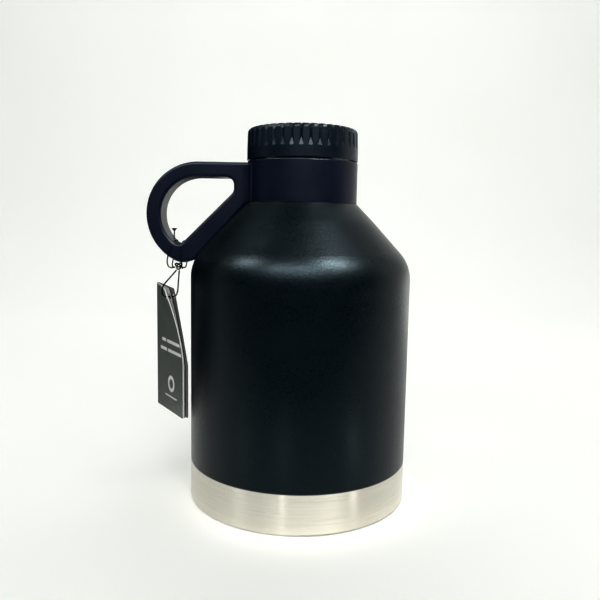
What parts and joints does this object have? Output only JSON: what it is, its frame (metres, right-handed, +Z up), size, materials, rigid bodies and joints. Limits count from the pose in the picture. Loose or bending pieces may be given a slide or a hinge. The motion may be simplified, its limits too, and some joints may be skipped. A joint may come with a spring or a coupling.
{
  "type": "vacuum insulated growler",
  "caption": "Double-walled steel growler with a bare base band, a moulded handle collar, a fluted screw cap and a card hang tag tied to its handle.",
  "frame": {"origin": "on the bottle's axis, at the plane it stands on", "axes": "+Z up along the bottle's axis; the handle points along -X; -Y is the front, where the tag hangs at the left"},
  "size_m": [0.1616, 0.135, 0.226],
  "materials": {
    "powder_coat": "satin",
    "brushed_steel": "satin",
    "inner_steel": "satin",
    "steel_disc": "satin",
    "spring_steel": "satin",
    "seal_glass": "gloss",
    "getter_alloy": "matte",
    "collar_plastic": "satin",
    "cap_plastic": "satin",
    "liner_plastic": "satin",
    "foam": "matte",
    "silicone": "matte",
    "tag_card": "satin",
    "tag_paper": "matte",
    "string": "matte",
    "lock_plastic": "satin"
  },
  "bodies": {
    "root": {"outer_shell": "powder_coat", "outer_base": "brushed_steel", "vacuum_seal_plug": "seal_glass", "base_cover_disc": "steel_disc", "inner_vessel": "inner_steel", "inner_floor": "inner_steel", "getter_cage": "steel_disc", "getter": "getter_alloy", "neck_finish": "inner_steel", "handle_collar": "collar_plastic", "collar_retaining_ring": "spring_steel", "tag_string_wrap_outer": "string", "tag_string_wrap_inner": "string", "tag_string_tail": "lock_plastic"},
    "cap_seal": {"cap_gasket": "silicone"},
    "cap": {"cap_shell": "cap_plastic", "cap_liner": "liner_plastic", "cap_insulation": "foam"},
    "tag_lock": {"tag_string_lock": "lock_plastic"},
    "tag": {"tag_string_loop": "string", "tag_front_leaf": "tag_card", "tag_inner_leaf": "tag_paper", "tag_back_leaf": "tag_card"}
  },
  "joints": [
    {"name": "cap_rise", "type": "slide", "parent": "root", "child": "cap_seal", "axis": [0, 0, 1], "range_m": [0, 0.066]},
    {"name": "cap_turn", "type": "hinge", "parent": "cap_seal", "child": "cap", "pos_m": [0, 0, 0.2], "axis": [0, 0, 1], "range_deg": [0, 3960]},
    {"name": "tag_lift", "type": "hinge", "parent": "root", "child": "tag_lock", "pos_m": [-0.0758, -0.001, 0.1424], "axis": [0, 1, 0], "range_deg": [0, 28]},
    {"name": "tag_swing", "type": "hinge", "parent": "tag_lock", "child": "tag", "pos_m": [-0.0758, -0.001, 0.1424], "axis": [1, 0, 0], "range_deg": [-18, 18]}
  ],
  "couplings": [
    {"joint": "cap_rise", "follows": "cap_turn", "m_per_rad": 0.00095493}
  ]
}
